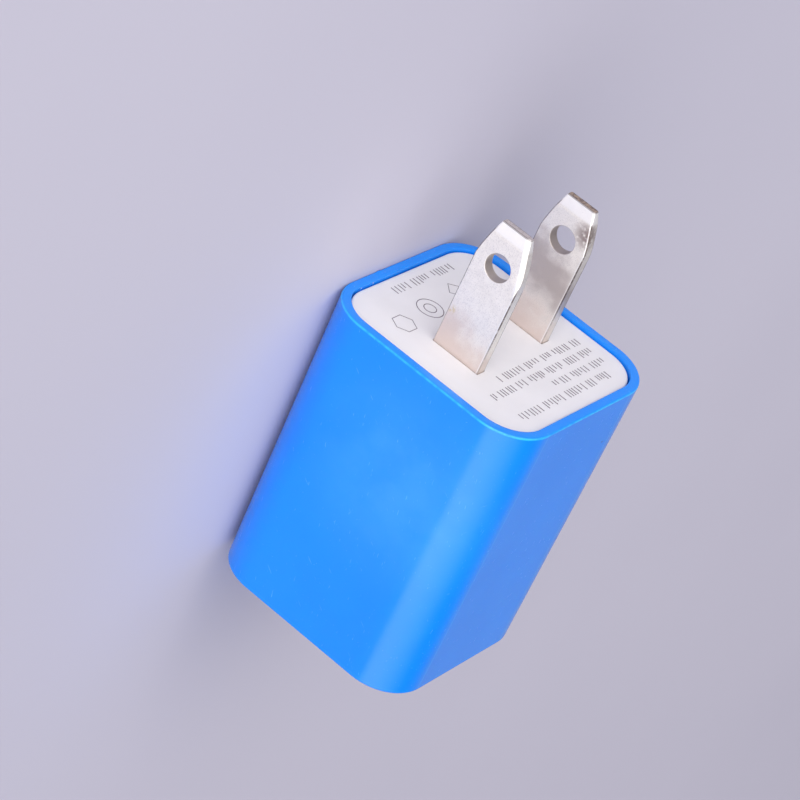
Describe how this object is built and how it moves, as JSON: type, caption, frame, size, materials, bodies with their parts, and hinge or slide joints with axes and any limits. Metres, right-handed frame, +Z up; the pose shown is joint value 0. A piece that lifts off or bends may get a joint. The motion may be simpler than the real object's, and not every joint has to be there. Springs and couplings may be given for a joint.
{
  "type": "usb wall charger",
  "caption": "Rounded-square mains adapter with fixed flat blades through a recessed white cover and stacked USB-A sockets in the opposite end.",
  "frame": {"origin": "midway between the blades, on the plane of the casing's rim, which is the plane that meets the wall outlet; the cover's face lies 0.4 mm below it", "axes": "+Y along the blades, away from the casing; +X from the left blade to the right one; +Z up when the charger is in a wall outlet"},
  "size_m": [0.0282, 0.0544, 0.0282],
  "materials": {
    "casing_plastic": "glossy azure blue moulded plastic, slightly translucent",
    "cover_plastic": "off-white satin moulded plastic",
    "blade_metal": "satin nickel plate over brass",
    "shield_metal": "tin-plated sheet steel",
    "socket_plastic": "white moulded plastic",
    "contact_metal": "gold-coloured plated spring metal",
    "wire_insulation": "red insulation",
    "board_laminate": "green solder mask on laminate",
    "ferrite": "dark grey sintered ferrite",
    "bobbin_plastic": "black moulded plastic",
    "copper": "enamelled copper wire",
    "winding_tape": "yellow polyester tape",
    "capacitor_sleeve": "dark shrink sleeve on an aluminium can",
    "ceramic_coating": "blue epoxy coating on a ceramic disc",
    "resistor_coating": "flameproof grey-green coating",
    "component_epoxy": "black moulded epoxy"
  },
  "bodies": {
    "root": {"outer_shell": "casing_plastic", "rear_cover": "cover_plastic", "blade_left": "blade_metal", "blade_right": "blade_metal", "blade_wire_left": "wire_insulation", "blade_wire_right": "wire_insulation", "main_board": "board_laminate", "usb_shield": "shield_metal", "usb_housing": "socket_plastic", "usb_upper_contact_1": "contact_metal", "usb_upper_contact_2": "contact_metal", "usb_upper_contact_3": "contact_metal", "usb_upper_contact_4": "contact_metal", "usb_lower_contact_1": "contact_metal", "usb_lower_contact_2": "contact_metal", "usb_lower_contact_3": "contact_metal", "usb_lower_contact_4": "contact_metal", "transformer_core_left": "ferrite", "transformer_core_right": "ferrite", "transformer_bobbin": "bobbin_plastic", "transformer_winding": "copper", "transformer_tape": "winding_tape", "input_capacitor": "capacitor_sleeve", "output_capacitor": "capacitor_sleeve", "output_choke": "ferrite", "choke_winding": "copper", "safety_capacitor": "ceramic_coating", "fuse_resistor": "resistor_coating", "bridge_rectifier": "component_epoxy", "controller_chip": "component_epoxy", "switch_transistor": "component_epoxy", "output_diode": "component_epoxy"}
  },
  "joints": []
}
